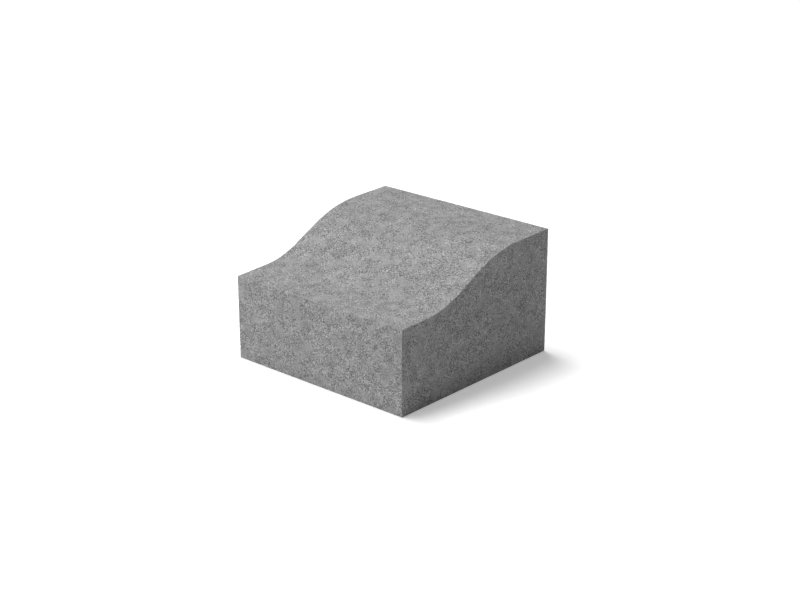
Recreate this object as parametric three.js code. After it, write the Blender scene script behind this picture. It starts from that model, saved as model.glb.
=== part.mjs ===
// Concrete kerb stone, cast in one piece.
// Its top climbs in one smooth wave from a low land at the front to a high land at the back.
// Millimetres. X runs along the kerb line, Y from the low front face to the high back face, Z up.
// The origin is the centre of the footprint, on the ground.

import * as THREE from 'three';

// Block
const stoneLength = 500;    // along the kerb line
const frontHeight = 200;    // low face, towards the road
const backHeight = 300;     // high face, towards the footway

// Top of the section, measured level from the front face to the back face
const frontLand = 140;      // front face to the foot of the ramp
const rampRun = 178;        // foot to head of the ramp
const backLand = 182;       // head of the ramp to the back face
const frontLandRise = 6;    // what the front land climbs towards the ramp
const backLandRise = 3;     // what the back land still climbs to the back face
const toeRadius = 240;      // hollow curve at the foot of the ramp
const crownRadius = 335;    // round curve at its head

// Cast edges
const longEdgeRadius = 1.2; // edges that run along the kerb line
const endEdgeRadius = 1;    // edges round the two end faces

// Facets
const curveSteps = 6;       // half the number of facets on each arc of the section
const endEdgeSteps = 3;     // facets across an end edge

const stoneDepth = frontLand + rampRun + backLand;

// Corners of the section before rounding, from the front foot round by the back.
function sectionCorners() {
  return [
    { at: new THREE.Vector2(0, 0), radius: longEdgeRadius },
    { at: new THREE.Vector2(stoneDepth, 0), radius: longEdgeRadius },
    { at: new THREE.Vector2(stoneDepth, backHeight), radius: longEdgeRadius },
    { at: new THREE.Vector2(frontLand + rampRun, backHeight - backLandRise), radius: crownRadius },
    { at: new THREE.Vector2(frontLand, frontHeight + frontLandRise), radius: toeRadius },
    { at: new THREE.Vector2(0, frontHeight), radius: longEdgeRadius },
  ];
}

// A closed outline that turns each corner with a tangent arc, hollow where the outline turns inwards.
// An arc takes at most half of the shorter side next to it.
function roundedOutline(corners) {
  const outline = new THREE.Shape();
  corners.forEach((corner, index) => {
    const arriving = corner.at.clone().sub(corners.at(index - 1).at);
    const leaving = corners[(index + 1) % corners.length].at.clone().sub(corner.at);
    const room = Math.min(arriving.length(), leaving.length()) / 2;
    const turn = Math.atan2(arriving.cross(leaving), arriving.dot(leaving));
    const halfTurnSlope = Math.tan(Math.abs(turn) / 2);
    const radius = Math.min(corner.radius, room / halfTurnSlope);
    const side = turn < 0 ? -1 : 1;
    const along = arriving.normalize();
    const inward = new THREE.Vector2(-along.y, along.x).multiplyScalar(side);
    const centre = corner.at.clone();
    centre.addScaledVector(along, -radius * halfTurnSlope);
    centre.addScaledVector(inward, radius);
    const startAngle = Math.atan2(-inward.y, -inward.x);
    outline.absarc(centre.x, centre.y, radius, startAngle, startAngle + turn, turn < 0);
  });
  return outline;
}

// The section runs the length of the stone. The end edges are drawn inside the section,
// so their radius stays under that of the long edges, which they meet at the corners.
function kerbStoneGeometry() {
  const endRadius = Math.min(endEdgeRadius, 0.9 * longEdgeRadius);
  const geometry = new THREE.ExtrudeGeometry(roundedOutline(sectionCorners()), {
    depth: stoneLength - 2 * endRadius,
    curveSegments: curveSteps,
    bevelEnabled: true,
    bevelThickness: endRadius,
    bevelSize: endRadius,
    bevelOffset: -endRadius,
    bevelSegments: endEdgeSteps,
  });
  geometry.translate(-stoneDepth / 2, 0, endRadius - stoneLength / 2);
  return geometry;
}

const castConcrete = new THREE.MeshStandardMaterial({
  color: 0x9b9b9b,
  roughness: 0.93,
  metalness: 0,
});

// Stands the drawn section up: its first direction points along Y, its second along Z.
const kerbStone = new THREE.Mesh(kerbStoneGeometry(), castConcrete);
kerbStone.name = 'kerb_stone';
kerbStone.rotation.set(Math.PI / 2, 0, Math.PI / 2, 'ZYX');

const part = new THREE.Group();
part.add(kerbStone);

export default part;
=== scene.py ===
import math
import random

import bmesh
import bpy
from mathutils import Matrix, Vector, geometry, kdtree, noise


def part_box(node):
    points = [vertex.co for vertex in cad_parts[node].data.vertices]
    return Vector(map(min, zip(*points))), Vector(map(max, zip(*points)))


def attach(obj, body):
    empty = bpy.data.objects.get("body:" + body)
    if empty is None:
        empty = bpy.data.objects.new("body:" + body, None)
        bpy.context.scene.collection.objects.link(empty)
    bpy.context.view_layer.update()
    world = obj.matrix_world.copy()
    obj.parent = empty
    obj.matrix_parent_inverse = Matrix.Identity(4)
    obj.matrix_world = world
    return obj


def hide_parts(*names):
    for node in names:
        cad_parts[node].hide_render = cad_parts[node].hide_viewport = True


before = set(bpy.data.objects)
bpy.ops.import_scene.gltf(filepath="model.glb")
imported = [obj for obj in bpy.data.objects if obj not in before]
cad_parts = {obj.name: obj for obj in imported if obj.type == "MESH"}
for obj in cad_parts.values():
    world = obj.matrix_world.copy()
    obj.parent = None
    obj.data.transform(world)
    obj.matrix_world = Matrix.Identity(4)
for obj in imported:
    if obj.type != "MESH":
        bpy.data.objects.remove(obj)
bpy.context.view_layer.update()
stoneLow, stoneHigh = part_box("kerb_stone")
print("frame: loaded")


# metres: X runs along the kerb line, Y from the low front to the high back
kerbStone = {
    "length": stoneHigh.x - stoneLow.x,
    "depth": stoneHigh.y - stoneLow.y,
    "backHeight": stoneHigh.z,
    "frontHeight": 0.200,      # low face
    "frontLand": 0.140,        # front face to the foot of the ramp
    "backLand": 0.182,         # head of the ramp to the back face
    "frontLandRise": 0.006,    # what the front land climbs towards the ramp
    "backLandRise": 0.003,     # what the back land still climbs to the back face
    "toeRadius": 0.240,        # hollow curve at the foot of the ramp
    "crownRadius": 0.335,      # round curve at its head
    "longEdgeRadius": 0.0012,  # cast edges along the kerb line
    "endEdgeRadius": 0.001,    # cast edges round the end faces
    "edgeSteps": 4,            # mesh rows across a cast edge, an even number
    "meshPitch": 0.0031,       # mesh size on the faces that show
    "bedPitch": 0.025,         # mesh rows on the underside
    "columnShift": 0.25,       # columns of an end face move up and down in turn, by this share of a row
    "waveHeight": 0.0006,      # how uneven the cast faces are
    "waveSize": 0.09,
    "pasteHeight": 0.0005,     # rough skin of the concrete
    "pasteSize": 0.010,
    "bedClearance": 0.0005,    # below this height the skin stays flat, so that the stone rests level
}

edgeWear = {
    "seed": 41,
    "chips": 52,               # small chips broken off the edges, in all
    "chipLength": (0.004, 0.010),
    "chipDepth": (0.0002, 0.0007),
    "chipTilt": 0.35,          # how far a chip's face may lean away from its edge's own direction
    "rubDepth": 0.00015,       # how far the edges are rubbed down all along
    "rubSize": 0.005,
    "reach": 0.004,            # how far from an edge the concrete looks worn
}


def tangentArc(before, corner, after, radius):
    # the arc that rounds a corner of the section: its centre, first direction, turn and side
    along = (corner - before).normalized()
    onward = (after - corner).normalized()
    turn = math.atan2(along.cross(onward), along.dot(onward))
    side = math.copysign(1, turn)
    inward = Vector((-along.y, along.x)) * side
    centre = corner - along * radius * math.tan(abs(turn) / 2) + inward * radius
    return centre, -inward, turn, side


def sectionOutline(size):
    # points round the section with their outward normals, from the front foot round by the back
    edge = size["longEdgeRadius"]
    fine = size["meshPitch"]
    crown = Vector((size["depth"] - size["backLand"], size["backHeight"] - size["backLandRise"]))
    toe = Vector((size["frontLand"], size["frontHeight"] + size["frontLandRise"]))
    corners = [
        (Vector((0, 0)), edge, size["bedPitch"]),
        (Vector((size["depth"], 0)), edge, fine),
        (Vector((size["depth"], size["backHeight"])), edge, fine),
        (crown, size["crownRadius"], fine),
        (toe, size["toeRadius"], fine),
        (Vector((0, size["frontHeight"])), edge, fine),
    ]
    arcs = []
    for i, (corner, radius, pitch) in enumerate(corners):
        after = corners[(i + 1) % len(corners)][0]
        centre, first, turn, side = tangentArc(corners[i - 1][0], corner, after, radius)
        steps = max(size["edgeSteps"], math.ceil(radius * abs(turn) / fine))
        directions = [Matrix.Rotation(turn * k / steps, 2) @ first for k in range(steps + 1)]
        arcs.append([(centre + d * radius, d * side) for d in directions])
    outline = []
    for i, arc in enumerate(arcs):
        outline += arc
        start, normal = arc[-1]
        end = arcs[(i + 1) % len(arcs)][0][0]
        steps = math.ceil((end - start).length / corners[i][2])
        outline += [(start.lerp(end, k / steps), normal) for k in range(1, steps)]
    return outline


def ringPlaces(size):
    # place along X of each ring of the skin, with its turn round the end edge
    radius = size["endEdgeRadius"]
    middle = size["length"] / 2 - radius
    steps = math.ceil(2 * middle / size["meshPitch"])
    rings = [(-middle + 2 * middle * k / steps, 0) for k in range(steps + 1)]
    for k in range(1, size["edgeSteps"] + 1):
        angle = math.pi / 2 * k / size["edgeSteps"]
        x = middle + radius * math.sin(angle)
        rings.append((x, angle))
        rings.insert(0, (-x, -angle))
    return rings


def pointsOnEndFace(size, outline):
    # places inside the end face, in columns under the wave, about a mesh pitch apart
    pitch = size["meshPitch"]
    columns = round(size["depth"] / pitch)
    facingUp = 0.5             # normals on the wave rise by more than this
    wave = [p for p, normal in outline if normal.y > facingUp][::-1]
    points = []
    for c in range(1, columns):
        y = size["depth"] * c / columns
        left, right = next(((a, b) for a, b in zip(wave, wave[1:]) if a.x <= y <= b.x), wave[:2])
        top = left.lerp(right, (y - left.x) / (right.x - left.x)).y
        rows = round(top / pitch)
        shift = size["columnShift"] if c % 2 else -size["columnShift"]
        points += [Vector((y, top * (r + shift) / rows)) for r in range(1, rows)]
    return points


def closeEnd(bm, size, outline, rim):
    # fills one end of the skin with flat triangles
    x = rim[0].co.x
    edge = [Vector((v.co.y + size["depth"] / 2, v.co.z)) for v in rim]
    count = len(rim)
    loop = [(k, (k + 1) % count) for k in range(count)]
    insideLoop = 1
    mergeDistance = 1e-7
    filled = geometry.delaunay_2d_cdt(
        edge + pointsOnEndFace(size, outline), loop, [], insideLoop, mergeDistance)
    points, faces, sources = filled[0], filled[2], filled[3]
    verts = []
    for p, ids in zip(points, sources):
        known = [rim[i] for i in ids if i < count]
        verts.append(known[0] if known else bm.verts.new((x, p.x - size["depth"] / 2, p.y)))
    for face in faces:
        corners = [verts[i] for i in face]
        bm.faces.new(corners if x > 0 else corners[::-1])


def buildSkin(size):
    # the closed skin of the stone, and the middle line of each cast edge with its outward direction
    outline = sectionOutline(size)
    radius = size["endEdgeRadius"]
    middleAngle = math.pi / 4
    angleMargin = 0.01
    slanted = 0.69             # just under the sine of the middle angle
    bm = bmesh.new()
    bm.verts.layers.float.new("edgeWear")
    rows = []
    edges = []
    for x, angle in ringPlaces(size):
        inset = radius * (1 - math.cos(angle))
        row = []
        for p, normal in outline:
            inside = p - normal * inset
            v = bm.verts.new((x, inside.x - size["depth"] / 2, inside.y))
            row.append(v)
            out = Vector((math.sin(angle), normal.x * math.cos(angle), normal.y * math.cos(angle)))
            longEdge = min(abs(normal.x), abs(normal.y)) > slanted
            if longEdge or abs(abs(angle) - middleAngle) < angleMargin:
                edges.append((v, out))
        rows.append(row)
    for row, nextRow in zip(rows, rows[1:]):
        for j in range(len(row)):
            bm.faces.new((row[j - 1], row[j], nextRow[j], nextRow[j - 1]))
    closeEnd(bm, size, outline, rows[0])
    closeEnd(bm, size, outline, rows[-1])
    return bm, edges


def wearEdges(bm, edges, wear):
    # rubs all cast edges down a little, unevenly, and breaks small chips off them
    bm.verts.index_update()
    bm.verts.ensure_lookup_table()
    tree = kdtree.KDTree(len(bm.verts))
    for v in bm.verts:
        tree.insert(v.co, v.index)
    tree.balance()
    draw = random.Random(wear["seed"])
    tilt = wear["chipTilt"]
    rubNoise = (0.8, 2, 3)     # smoothness, zoom from layer to layer, and layers
    worn = bm.verts.layers.float["edgeWear"]
    places = [(v.co.copy(), out) for v, out in edges]
    for place, out in places:
        for _, index, distance in tree.find_range(place, wear["reach"]):
            v = bm.verts[index]
            near = 1 - distance / wear["reach"]
            v[worn] = max(v[worn], near)
    for v, out in edges:
        uneven = noise.fractal(v.co / wear["rubSize"], *rubNoise)
        rub = max(0, 0.5 + uneven) * wear["rubDepth"]
        v.co -= out * rub
    for chip in range(wear["chips"]):
        place, out = draw.choice(places)
        half = draw.uniform(*wear["chipLength"]) / 2
        depth = draw.uniform(*wear["chipDepth"])
        lean = Vector([draw.uniform(-tilt, tilt) for k in range(3)])
        plane = (out + lean).normalized()
        for _, index, distance in tree.find_range(place, half):
            v = bm.verts[index]
            cut = (v.co - place).dot(plane) + depth * (1 - (distance / half) ** 2)
            if cut > 0:
                v.co -= plane * cut
                v[worn] = 1


def buildKerbStone(size, wear):
    bm, edges = buildSkin(size)
    wearEdges(bm, edges, wear)
    mesh = bpy.data.meshes.new("kerb_stone_cast")
    bm.to_mesh(mesh)
    bm.free()
    mesh.shade_smooth()
    stone = bpy.data.objects.new("kerb_stone_cast", mesh)
    bpy.context.scene.collection.objects.link(stone)
    proud = stone.vertex_groups.new(name="aboveBed")
    proud.add([v.index for v in mesh.vertices if v.co.z > size["bedClearance"]], 1, "REPLACE")
    for name, height, scale in (
        ("castWave", size["waveHeight"], size["waveSize"]),
        ("pasteSkin", size["pasteHeight"], size["pasteSize"]),
    ):
        clouds = bpy.data.textures.new(name, "CLOUDS")
        clouds.noise_scale = scale
        clouds.noise_depth = 2
        relief = stone.modifiers.new(name, "DISPLACE")
        relief.texture = clouds
        relief.texture_coords = "LOCAL"
        relief.strength = height
        relief.mid_level = 0.5
        relief.vertex_group = proud.name
    # flat faces keep their shading right up to the small cast edges
    stone.modifiers.new("evenShading", "WEIGHTED_NORMAL")
    triangles = sum(len(p.vertices) - 2 for p in mesh.polygons)
    print("kerb stone:", len(mesh.vertices), "vertices,", triangles, "triangles")
    return stone


stone = buildKerbStone(kerbStone, edgeWear)
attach(stone, "root")
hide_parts("kerb_stone")


# sizes, heights and depths in metres, tones in stops, covers and shares from 0 to 1
concrete = {
    "paste": (0.286, 0.286, 0.286),
    "cloudSize": 0.110,        # soft light and dark clouds
    "cloudTone": 0.10,
    "mottleSize": 0.025,
    "mottleTone": 0.23,
    "smoothPatchSize": 0.024,  # patches where paste covers the sand
    "smoothPatchTone": 0.03,
    "smoothPatchCover": 0.60,
    "smoothPatchEdge": (0.0, 0.6),  # the pattern's tone where a patch begins, and where it is full
    "sandSize": 0.0016,        # sand that shows as speckles
    "sandTone": 0.70,
    "sandHeight": 0.00018,
    "dustSize": 0.0009,        # the finest sand
    "dustTone": 0.40,
    "dustHeight": 0.00007,
    # the crust's tone follows its own relief: its hollows are painted darker and its knobs lighter as
    # painted shade, besides the paste's own uneven tone
    "crustSize": 0.0030,       # broken skin of the paste
    "crustToneAndShade": 1.85,
    "crustHeight": 0.00025,
    "lightestSpeckle": 0.95,   # grains and crust together show no lighter than this
    "speckleBend": 0.5,        # how softly the speckle nears its lightest
    "poreSize": 0.0048,        # air holes
    "poreShare": 0.05,
    "poreDepth": 0.0012,
    "pinholeSize": 0.0018,
    "pinholeShare": 0.12,
    "pinholeDepth": 0.0005,
    # painted shade: air holes and pinholes are darker in colour, on top of their dents in the bump
    "poreShadeTone": 0.80,
    "wearSize": 0.006,
    "wearTone": 0.05,          # rubbed edges are a little lighter
    "roughness": (0.84, 0.97),
}


def feed(tree, socket, value):
    # a socket takes either another node's output or a plain value
    if isinstance(value, bpy.types.NodeSocket):
        tree.links.new(value, socket)
    else:
        socket.default_value = value


def addNode(tree, kind, inputs=None, **settings):
    node = tree.nodes.new(kind)
    for name, value in settings.items():
        setattr(node, name, value)
    for name, value in (inputs or {}).items():
        feed(tree, node.inputs[name], value)
    return node


def calculate(tree, operation, *values):
    node = addNode(tree, "ShaderNodeMath", operation=operation)
    for socket, value in zip(node.inputs, values):
        feed(tree, socket, value)
    return node.outputs[0]


def total(tree, *values):
    answer = values[0]
    for value in values[1:]:
        answer = calculate(tree, "ADD", answer, value)
    return answer


def mapRange(tree, value, fromLow, fromHigh, toLow, toHigh):
    node = addNode(tree, "ShaderNodeMapRange", interpolation_type="SMOOTHSTEP")
    for socket, given in zip(node.inputs, (value, fromLow, fromHigh, toLow, toHigh)):
        feed(tree, socket, given)
    return node.outputs[0]


def scaledPlace(tree, place, size):
    # the place counted in sizes of the pattern
    node = addNode(tree, "ShaderNodeVectorMath", operation="SCALE")
    feed(tree, node.inputs["Vector"], place)
    feed(tree, node.inputs["Scale"], calculate(tree, "DIVIDE", 1, size))
    return node.outputs["Vector"]


def startGroup(name, inputs, outputs):
    group = bpy.data.node_groups.new(name, "ShaderNodeTree")
    for direction, sockets in (("INPUT", inputs), ("OUTPUT", outputs)):
        for label, value in sockets.items():
            kind = "NodeSocketVector" if value is None else "NodeSocketFloat"
            socket = group.interface.new_socket(label, in_out=direction, socket_type=kind)
            if value:
                socket.default_value = value
    given = group.nodes.new("NodeGroupInput").outputs
    result = group.nodes.new("NodeGroupOutput").inputs
    return group, given, result


def useGroup(tree, group, **inputs):
    node = tree.nodes.new("ShaderNodeGroup")
    node.node_tree = group
    for name, value in inputs.items():
        feed(tree, node.inputs[name.capitalize()], value)
    return node.outputs


def arrangeNodes(tree):
    # nodes in columns, each to the left of those it feeds
    column = {node: 0 for node in tree.nodes}
    for node in tree.nodes:
        for link in tree.links:
            column[link.from_node] = max(column[link.from_node], column[link.to_node] + 1)
    used = {}
    for node, place in column.items():
        row = used.get(place, 0)
        node.location = (-200 * place, -240 * row)
        used[place] = row + 1


noiseSpan = (0.25, 0.75)       # nearly all values of a noise texture lie in this


def cloudyToneGroup():
    # soft clouds, from -1 to 1
    tree, given, result = startGroup("cloudyTone", {"Place": None, "Size": 0.05}, {"Tone": 0})
    clouds = addNode(tree, "ShaderNodeTexNoise", {
        "Vector": scaledPlace(tree, given["Place"], given["Size"]),
        "Scale": 1, "Detail": 3, "Roughness": 0.5})
    tone = mapRange(tree, clouds.outputs[0], *noiseSpan, -1, 1)
    tree.links.new(tone, result["Tone"])
    return tree


def sandGrainGroup():
    # sand in the concrete: a random tone from -1 to 1 for each grain, and how high it stands
    tree, given, result = startGroup("sandGrain", {"Place": None, "Size": 0.003}, {"Tone": 0, "Height": 0})
    bend = 1.2                 # how far the grains' outlines are pushed about, in grain sizes
    flatTop, foot = 0.15, 0.75  # where a grain's dome begins and ends, in grain sizes
    lowest = 0.4               # height of the lowest grain, as a share of the highest
    place = scaledPlace(tree, given["Place"], given["Size"])
    wobble = addNode(tree, "ShaderNodeTexNoise", {"Vector": place, "Scale": 1.3, "Detail": 2})
    bent = addNode(tree, "ShaderNodeVectorMath", operation="MULTIPLY_ADD")
    feed(tree, bent.inputs[0], wobble.outputs["Color"])
    bent.inputs[1].default_value = (bend, bend, bend)
    feed(tree, bent.inputs[2], place)
    cells = addNode(tree, "ShaderNodeTexVoronoi", {"Vector": bent.outputs[0], "Scale": 1})
    draw = addNode(tree, "ShaderNodeSeparateColor", {"Color": cells.outputs["Color"]})
    tone = calculate(tree, "MULTIPLY_ADD", draw.outputs["Red"], 2, -1)
    tree.links.new(tone, result["Tone"])
    dome = mapRange(tree, cells.outputs["Distance"], flatTop, foot, 1, 0)
    lift = calculate(tree, "MULTIPLY_ADD", draw.outputs["Red"], 1 - lowest, lowest)
    tree.links.new(calculate(tree, "MULTIPLY", dome, lift), result["Height"])
    return tree


def brokenCrustGroup():
    # the broken skin of the paste: knobs and winding hollows, from -1 to 1
    tree, given, result = startGroup("brokenCrust", {"Place": None, "Size": 0.004}, {"Tone": 0})
    skin = addNode(tree, "ShaderNodeTexNoise", {
        "Vector": scaledPlace(tree, given["Place"], given["Size"]),
        "Scale": 1, "Detail": 4, "Roughness": 0.75, "Distortion": 0.8})
    tone = mapRange(tree, skin.outputs[0], *noiseSpan, -1, 1)
    tree.links.new(tone, result["Tone"])
    return tree


def airPoreGroup():
    # round holes of mixed sizes: a share of the cells holds one
    cellSize = 1.6             # in pore sizes
    smallest, spread = 0.10, 0.22
    softRim = 0.55             # where the hole's flat middle ends, as a share of its radius
    tree, given, result = startGroup(
        "airPores", {"Place": None, "Size": 0.004, "Share": 0.1}, {"Mask": 0})
    place = scaledPlace(tree, given["Place"], calculate(tree, "MULTIPLY", given["Size"], cellSize))
    cells = addNode(tree, "ShaderNodeTexVoronoi", {"Vector": place, "Scale": 1})
    draw = addNode(tree, "ShaderNodeSeparateColor", {"Color": cells.outputs["Color"]})
    held = calculate(tree, "LESS_THAN", draw.outputs["Red"], given["Share"])
    radius = calculate(tree, "MULTIPLY_ADD", draw.outputs["Green"], spread, smallest)
    rim = calculate(tree, "MULTIPLY", radius, softRim)
    hole = mapRange(tree, cells.outputs["Distance"], rim, radius, 1, 0)
    tree.links.new(calculate(tree, "MULTIPLY", hole, held), result["Mask"])
    return tree


def wornEdgeGroup():
    # breaks the wear along the edges into uneven spots
    spotRim = (0.2, 0.55)      # wear from which a spot starts to show, and from which it shows fully
    tree, given, result = startGroup(
        "wornEdge", {"Place": None, "Size": 0.006, "Wear": 0}, {"Mask": 0})
    spots = addNode(tree, "ShaderNodeTexNoise", {
        "Vector": scaledPlace(tree, given["Place"], given["Size"]), "Scale": 1, "Detail": 3})
    reach = calculate(tree, "MULTIPLY", given["Wear"], spots.outputs[0])
    tree.links.new(mapRange(tree, reach, *spotRim, 0, 1), result["Mask"])
    return tree


def concreteMaterial(finish):
    cloudyTone = cloudyToneGroup()
    sandGrain = sandGrainGroup()
    brokenCrust = brokenCrustGroup()
    airPores = airPoreGroup()
    wornEdge = wornEdgeGroup()
    material = bpy.data.materials.new("castConcrete")
    material.use_nodes = True
    tree = material.node_tree
    shader = tree.nodes["Principled BSDF"]
    place = addNode(tree, "ShaderNodeTexCoord").outputs["Object"]

    clouds = useGroup(tree, cloudyTone, place=place, size=finish["cloudSize"])["Tone"]
    mottle = useGroup(tree, cloudyTone, place=place, size=finish["mottleSize"])["Tone"]
    patches = useGroup(tree, cloudyTone, place=place, size=finish["smoothPatchSize"])["Tone"]
    sand = useGroup(tree, sandGrain, place=place, size=finish["sandSize"])
    dust = useGroup(tree, sandGrain, place=place, size=finish["dustSize"])
    crust = useGroup(tree, brokenCrust, place=place, size=finish["crustSize"])["Tone"]
    pores = useGroup(
        tree, airPores, place=place, size=finish["poreSize"], share=finish["poreShare"])["Mask"]
    pinholes = useGroup(
        tree, airPores, place=place, size=finish["pinholeSize"], share=finish["pinholeShare"])["Mask"]
    nearEdge = addNode(tree, "ShaderNodeAttribute", attribute_name="edgeWear").outputs["Fac"]
    wear = useGroup(tree, wornEdge, place=place, size=finish["wearSize"], wear=nearEdge)["Mask"]

    # sand and crust show least where a patch of paste covers them
    smooth = mapRange(tree, patches, *finish["smoothPatchEdge"], 0, 1)
    bare = calculate(tree, "MULTIPLY_ADD", smooth, -finish["smoothPatchCover"], 1)
    speckle = total(
        tree,
        calculate(tree, "MULTIPLY", sand["Tone"], finish["sandTone"]),
        calculate(tree, "MULTIPLY", dust["Tone"], finish["dustTone"]),
        # crust tone: uneven paste tone together with painted shade in its hollows
        calculate(tree, "MULTIPLY", crust, finish["crustToneAndShade"]))
    speckle = calculate(
        tree, "SMOOTH_MIN", speckle, finish["lightestSpeckle"], finish["speckleBend"])
    # tones are in stops: one more doubles the brightness
    tone = total(
        tree,
        calculate(tree, "MULTIPLY", speckle, bare),
        calculate(tree, "MULTIPLY", clouds, finish["cloudTone"]),
        calculate(tree, "MULTIPLY", mottle, finish["mottleTone"]),
        calculate(tree, "MULTIPLY", smooth, finish["smoothPatchTone"]),
        calculate(tree, "MULTIPLY", wear, finish["wearTone"]),
        # painted shade darkens the air holes and pinholes
        calculate(tree, "MULTIPLY", calculate(tree, "MAXIMUM", pores, pinholes), -finish["poreShadeTone"]))
    colour = addNode(tree, "ShaderNodeVectorMath", operation="SCALE")
    colour.inputs[0].default_value = finish["paste"]
    feed(tree, colour.inputs["Scale"], calculate(tree, "POWER", 2, tone))
    tree.links.new(colour.outputs["Vector"], shader.inputs["Base Color"])
    tree.links.new(mapRange(tree, smooth, 1, 0, *finish["roughness"]), shader.inputs["Roughness"])

    relief = total(
        tree,
        calculate(tree, "MULTIPLY", sand["Height"], finish["sandHeight"]),
        calculate(tree, "MULTIPLY", dust["Height"], finish["dustHeight"]),
        calculate(tree, "MULTIPLY", crust, finish["crustHeight"]))
    height = total(
        tree,
        calculate(tree, "MULTIPLY", relief, bare),
        calculate(tree, "MULTIPLY", pores, -finish["poreDepth"]),
        calculate(tree, "MULTIPLY", pinholes, -finish["pinholeDepth"]))
    bump = addNode(tree, "ShaderNodeBump", {"Height": height, "Strength": 1, "Distance": 1})
    tree.links.new(bump.outputs["Normal"], shader.inputs["Normal"])
    for each in (cloudyTone, sandGrain, brokenCrust, airPores, wornEdge, tree):
        arrangeNodes(each)
    print("concrete: material made")
    return material


stone.data.materials.append(concreteMaterial(concrete))


# metres and degrees, lens and sensor in millimetres
camera = {
    "azimuth": 41.756,         # round from the front face
    "elevation": 20.836,
    "distance": 3.939,
    "aimRight": 0.01575,       # where the camera looks, from the middle of the footprint
    "aimUp": 0.12515,
    "lens": 76.35,
    "sensor": 36,
}


def outward(azimuth, elevation):
    # direction away from the stone: degrees round from the front face, and degrees up
    a, e = math.radians(azimuth), math.radians(elevation)
    return Vector((math.sin(a) * math.cos(e), -math.cos(a) * math.cos(e), math.sin(e)))


def addCamera(view):
    back = outward(view["azimuth"], view["elevation"])
    right = outward(view["azimuth"] + 90, 0)
    up = back.cross(right)
    data = bpy.data.cameras.new("camera")
    data.lens = view["lens"]
    data.sensor_width = view["sensor"]
    eye = bpy.data.objects.new("camera", data)
    place = back * view["distance"] + right * view["aimRight"] + up * view["aimUp"]
    eye.matrix_world = Matrix.Translation(place) @ Matrix((right, up, back)).transposed().to_4x4()
    bpy.context.scene.collection.objects.link(eye)
    bpy.context.scene.camera = eye
    print("camera: placed")


addCamera(camera)

# metres, degrees and watts; the key light in watts per square metre
studio = {
    "floorSize": 12,
    "floorBounce": 0.75,       # how light the floor is where it lights the stone
    "floorShown": 1.0,         # how light it is where it is seen
    "floorLift": 0.28,         # glow that makes it white where it is seen
    "floorGap": 0.0003,        # keeps the floor just under the bed
    "ambient": 0.214,          # light from all round
    "keyLight": {
        "azimuth": -92, "elevation": 70.5, "distance": 3, "angle": 28, "strength": 0.69 * math.pi},
    "fillLight": {
        "azimuth": -26, "elevation": 24, "distance": 3.5, "width": 2.2, "power": 52},
}


def grey(level):
    return (level, level, level, 1)


def whiteToCamera(tree):
    # 1 for rays that come from the camera or from a mirror or glass, 0 for rays that light the stone
    rays = addNode(tree, "ShaderNodeLightPath").outputs
    seen = calculate(tree, "MAXIMUM", rays["Is Camera Ray"], rays["Is Glossy Ray"])
    return calculate(tree, "MAXIMUM", seen, rays["Is Transmission Ray"])


def floorMaterial(setup):
    material = bpy.data.materials.new("paleFloor")
    material.use_nodes = True
    tree = material.node_tree
    tree.nodes.clear()
    bounce = addNode(tree, "ShaderNodeBsdfDiffuse", {"Color": grey(setup["floorBounce"])})
    shown = addNode(tree, "ShaderNodeBsdfDiffuse", {"Color": grey(setup["floorShown"])})
    lift = addNode(tree, "ShaderNodeEmission", {"Strength": setup["floorLift"]})
    lifted = addNode(tree, "ShaderNodeAddShader")
    tree.links.new(shown.outputs[0], lifted.inputs[0])
    tree.links.new(lift.outputs[0], lifted.inputs[1])
    mix = addNode(tree, "ShaderNodeMixShader")
    tree.links.new(whiteToCamera(tree), mix.inputs[0])
    tree.links.new(bounce.outputs[0], mix.inputs[1])
    tree.links.new(lifted.outputs[0], mix.inputs[2])
    out = addNode(tree, "ShaderNodeOutputMaterial")
    tree.links.new(mix.outputs[0], out.inputs["Surface"])
    arrangeNodes(tree)
    return material


def addFloor(setup):
    half = setup["floorSize"] / 2
    corners = [(-half, -half, 0), (half, -half, 0), (half, half, 0), (-half, half, 0)]
    mesh = bpy.data.meshes.new("floor")
    mesh.from_pydata(corners, [], [(0, 1, 2, 3)])
    mesh.materials.append(floorMaterial(setup))
    floor = bpy.data.objects.new("floor", mesh)
    floor.location.z = -setup["floorGap"]
    bpy.context.scene.collection.objects.link(floor)


def addWorld(setup):
    world = bpy.data.worlds.new("studio")
    world.use_nodes = True
    tree = world.node_tree
    background = tree.nodes["Background"]
    background.inputs["Color"].default_value = grey(1)
    level = addNode(tree, "ShaderNodeMapRange", {"Value": whiteToCamera(tree), "To Min": setup["ambient"]})
    tree.links.new(level.outputs[0], background.inputs["Strength"])
    arrangeNodes(tree)
    bpy.context.scene.world = world


def addLamp(name, kind, light):
    direction = outward(light["azimuth"], light["elevation"])
    data = bpy.data.lights.new(name, kind)
    lamp = bpy.data.objects.new(name, data)
    lamp.location = direction * light["distance"]
    lamp.rotation_euler = direction.to_track_quat("Z", "Y").to_euler()
    bpy.context.scene.collection.objects.link(lamp)
    return data


def addLights(setup):
    key = addLamp("keyLight", "SUN", setup["keyLight"])
    key.angle = math.radians(setup["keyLight"]["angle"])
    key.energy = setup["keyLight"]["strength"]
    fill = addLamp("fillLight", "AREA", setup["fillLight"])
    fill.size = setup["fillLight"]["width"]
    fill.energy = setup["fillLight"]["power"]


addFloor(studio)
addWorld(studio)
addLights(studio)
bpy.context.scene.view_settings.view_transform = "Standard"
print("studio: floor, world and lights set")
